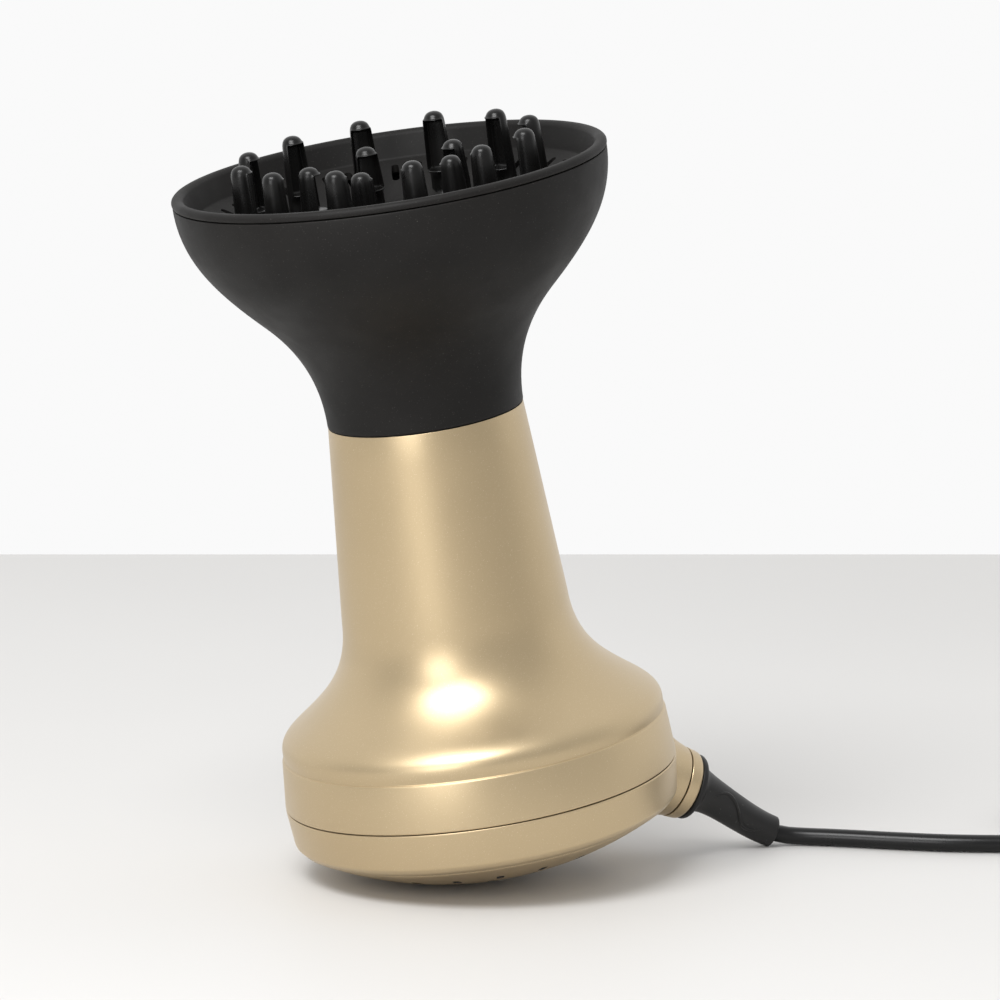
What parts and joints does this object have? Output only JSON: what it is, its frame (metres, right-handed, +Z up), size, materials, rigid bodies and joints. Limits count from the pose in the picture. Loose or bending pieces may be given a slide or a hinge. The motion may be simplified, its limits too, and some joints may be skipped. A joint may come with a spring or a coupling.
{
  "type": "diffuser hair dryer",
  "caption": "Handle-less hair dryer with a flared body, slotted comb bowl on its outlet, domed intake cover, side boot and mains cord",
  "frame": {"origin": "bottom centre of the box round the dryer without its cord, on the surface it rests on", "axes": "+Z up, with the body axis leaning 8.96 degrees from it towards -X; +X towards the side where the cord leaves; +Y towards the slide switch"},
  "size_m": [0.463, 0.16, 0.2829],
  "materials": {
    "body_gold": "satin champagne gold paint with a metallic sheen",
    "diffuser_black": "soft-touch black, slightly dusty",
    "boot_rubber": "matte moulded rubber",
    "cord_black": "glossy flexible sheath",
    "gloss_black": "gloss moulded plastic",
    "inner_nylon": "heat-resistant moulded nylon",
    "steel": "plain steel",
    "brass": "turned brass",
    "mica": "pressed mica sheet",
    "board": "circuit board"
  },
  "bodies": {
    "body": {"front_housing": "body_gold", "rear_housing": "body_gold", "cord_collar": "body_gold", "air_duct": "inner_nylon", "motor_mount": "inner_nylon", "motor_can": "steel", "motor_end_bell": "inner_nylon", "bearing_rear": "brass", "bearing_front": "brass", "rectifier_board": "board", "heater_board_a": "mica", "heater_board_b": "mica", "heater_coil_low": "steel", "heater_coil_high": "steel", "mica_sleeve": "mica", "thermostat": "steel", "thermal_fuse": "steel", "outlet_grille": "inner_nylon", "outlet_seal": "boot_rubber", "switch_bezel": "diffuser_black", "switch_block": "inner_nylon", "switch_lead": "cord_black", "cord_clamp": "inner_nylon", "housing_screw_1": "steel", "housing_screw_2": "steel", "housing_screw_3": "steel", "housing_screw_4": "steel", "cord_boot": "boot_rubber", "mains_cord": "cord_black", "cord_coil": "cord_black", "cord_tail": "cord_black", "plug_body": "cord_black", "plug_pin_left": "brass", "plug_pin_right": "brass"},
    "intake": {"intake_cover": "body_gold", "intake_filter": "inner_nylon"},
    "rotor": {"fan_impeller": "inner_nylon", "motor_shaft": "steel", "motor_armature": "steel", "motor_commutator": "brass"},
    "switch": {"switch_slider": "gloss_black"},
    "diffuser": {"diffuser_bowl": "diffuser_black", "comb_insert": "diffuser_black"}
  },
  "joints": [
    {"name": "diffuser_slide", "type": "slide", "parent": "body", "child": "diffuser", "axis": [-0.1557, 0, 0.9878], "range_m": [0, 0.045]},
    {"name": "fan_spin", "type": "hinge", "parent": "body", "child": "rotor", "pos_m": [0.01347, 0, 0.03699], "axis": [-0.1557, 0, 0.9878], "continuous": true},
    {"name": "cover_twist", "type": "hinge", "parent": "body", "child": "intake", "pos_m": [0.0175, 0, 0.01143], "axis": [-0.1557, 0, 0.9878], "range_deg": [0, 18]},
    {"name": "switch_slide", "type": "slide", "parent": "body", "child": "switch", "axis": [0.9878, 0, 0.1557], "range_m": [-0.0045, 0.0045]}
  ]
}
